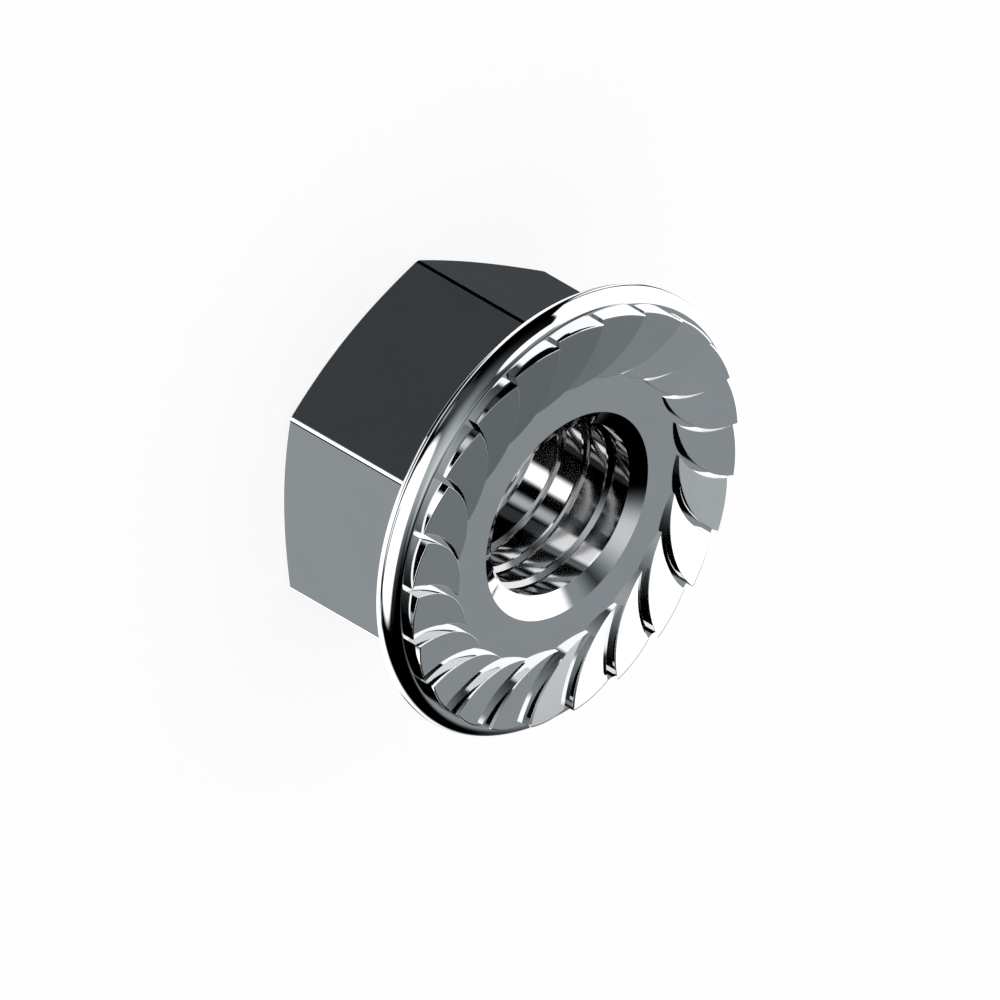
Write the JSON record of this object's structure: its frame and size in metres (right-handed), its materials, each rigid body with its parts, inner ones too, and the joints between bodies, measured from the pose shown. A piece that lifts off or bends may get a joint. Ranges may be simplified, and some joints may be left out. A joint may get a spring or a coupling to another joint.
{
  "type": "serrated flange nut",
  "caption": "Hexagon nut with a round flange; curved ratchet teeth on its bearing face lock it against loosening, and a threaded bore runs through it.",
  "frame": {"origin": "centre of the hexagon's end face, on the thread axis, which is the centre of the bottom of the bounding box", "axes": "+Z along the thread axis from the hexagon's end face towards the serrated bearing face; X through two opposite corners of the hexagon, Y through the middle of two opposite flats"},
  "size_m": [0.0176, 0.0176, 0.0086],
  "materials": {
    "bright_steel": "bright plated steel, smooth and mirror-like"
  },
  "bodies": {
    "root": {"flange_nut": "bright_steel"}
  },
  "joints": []
}
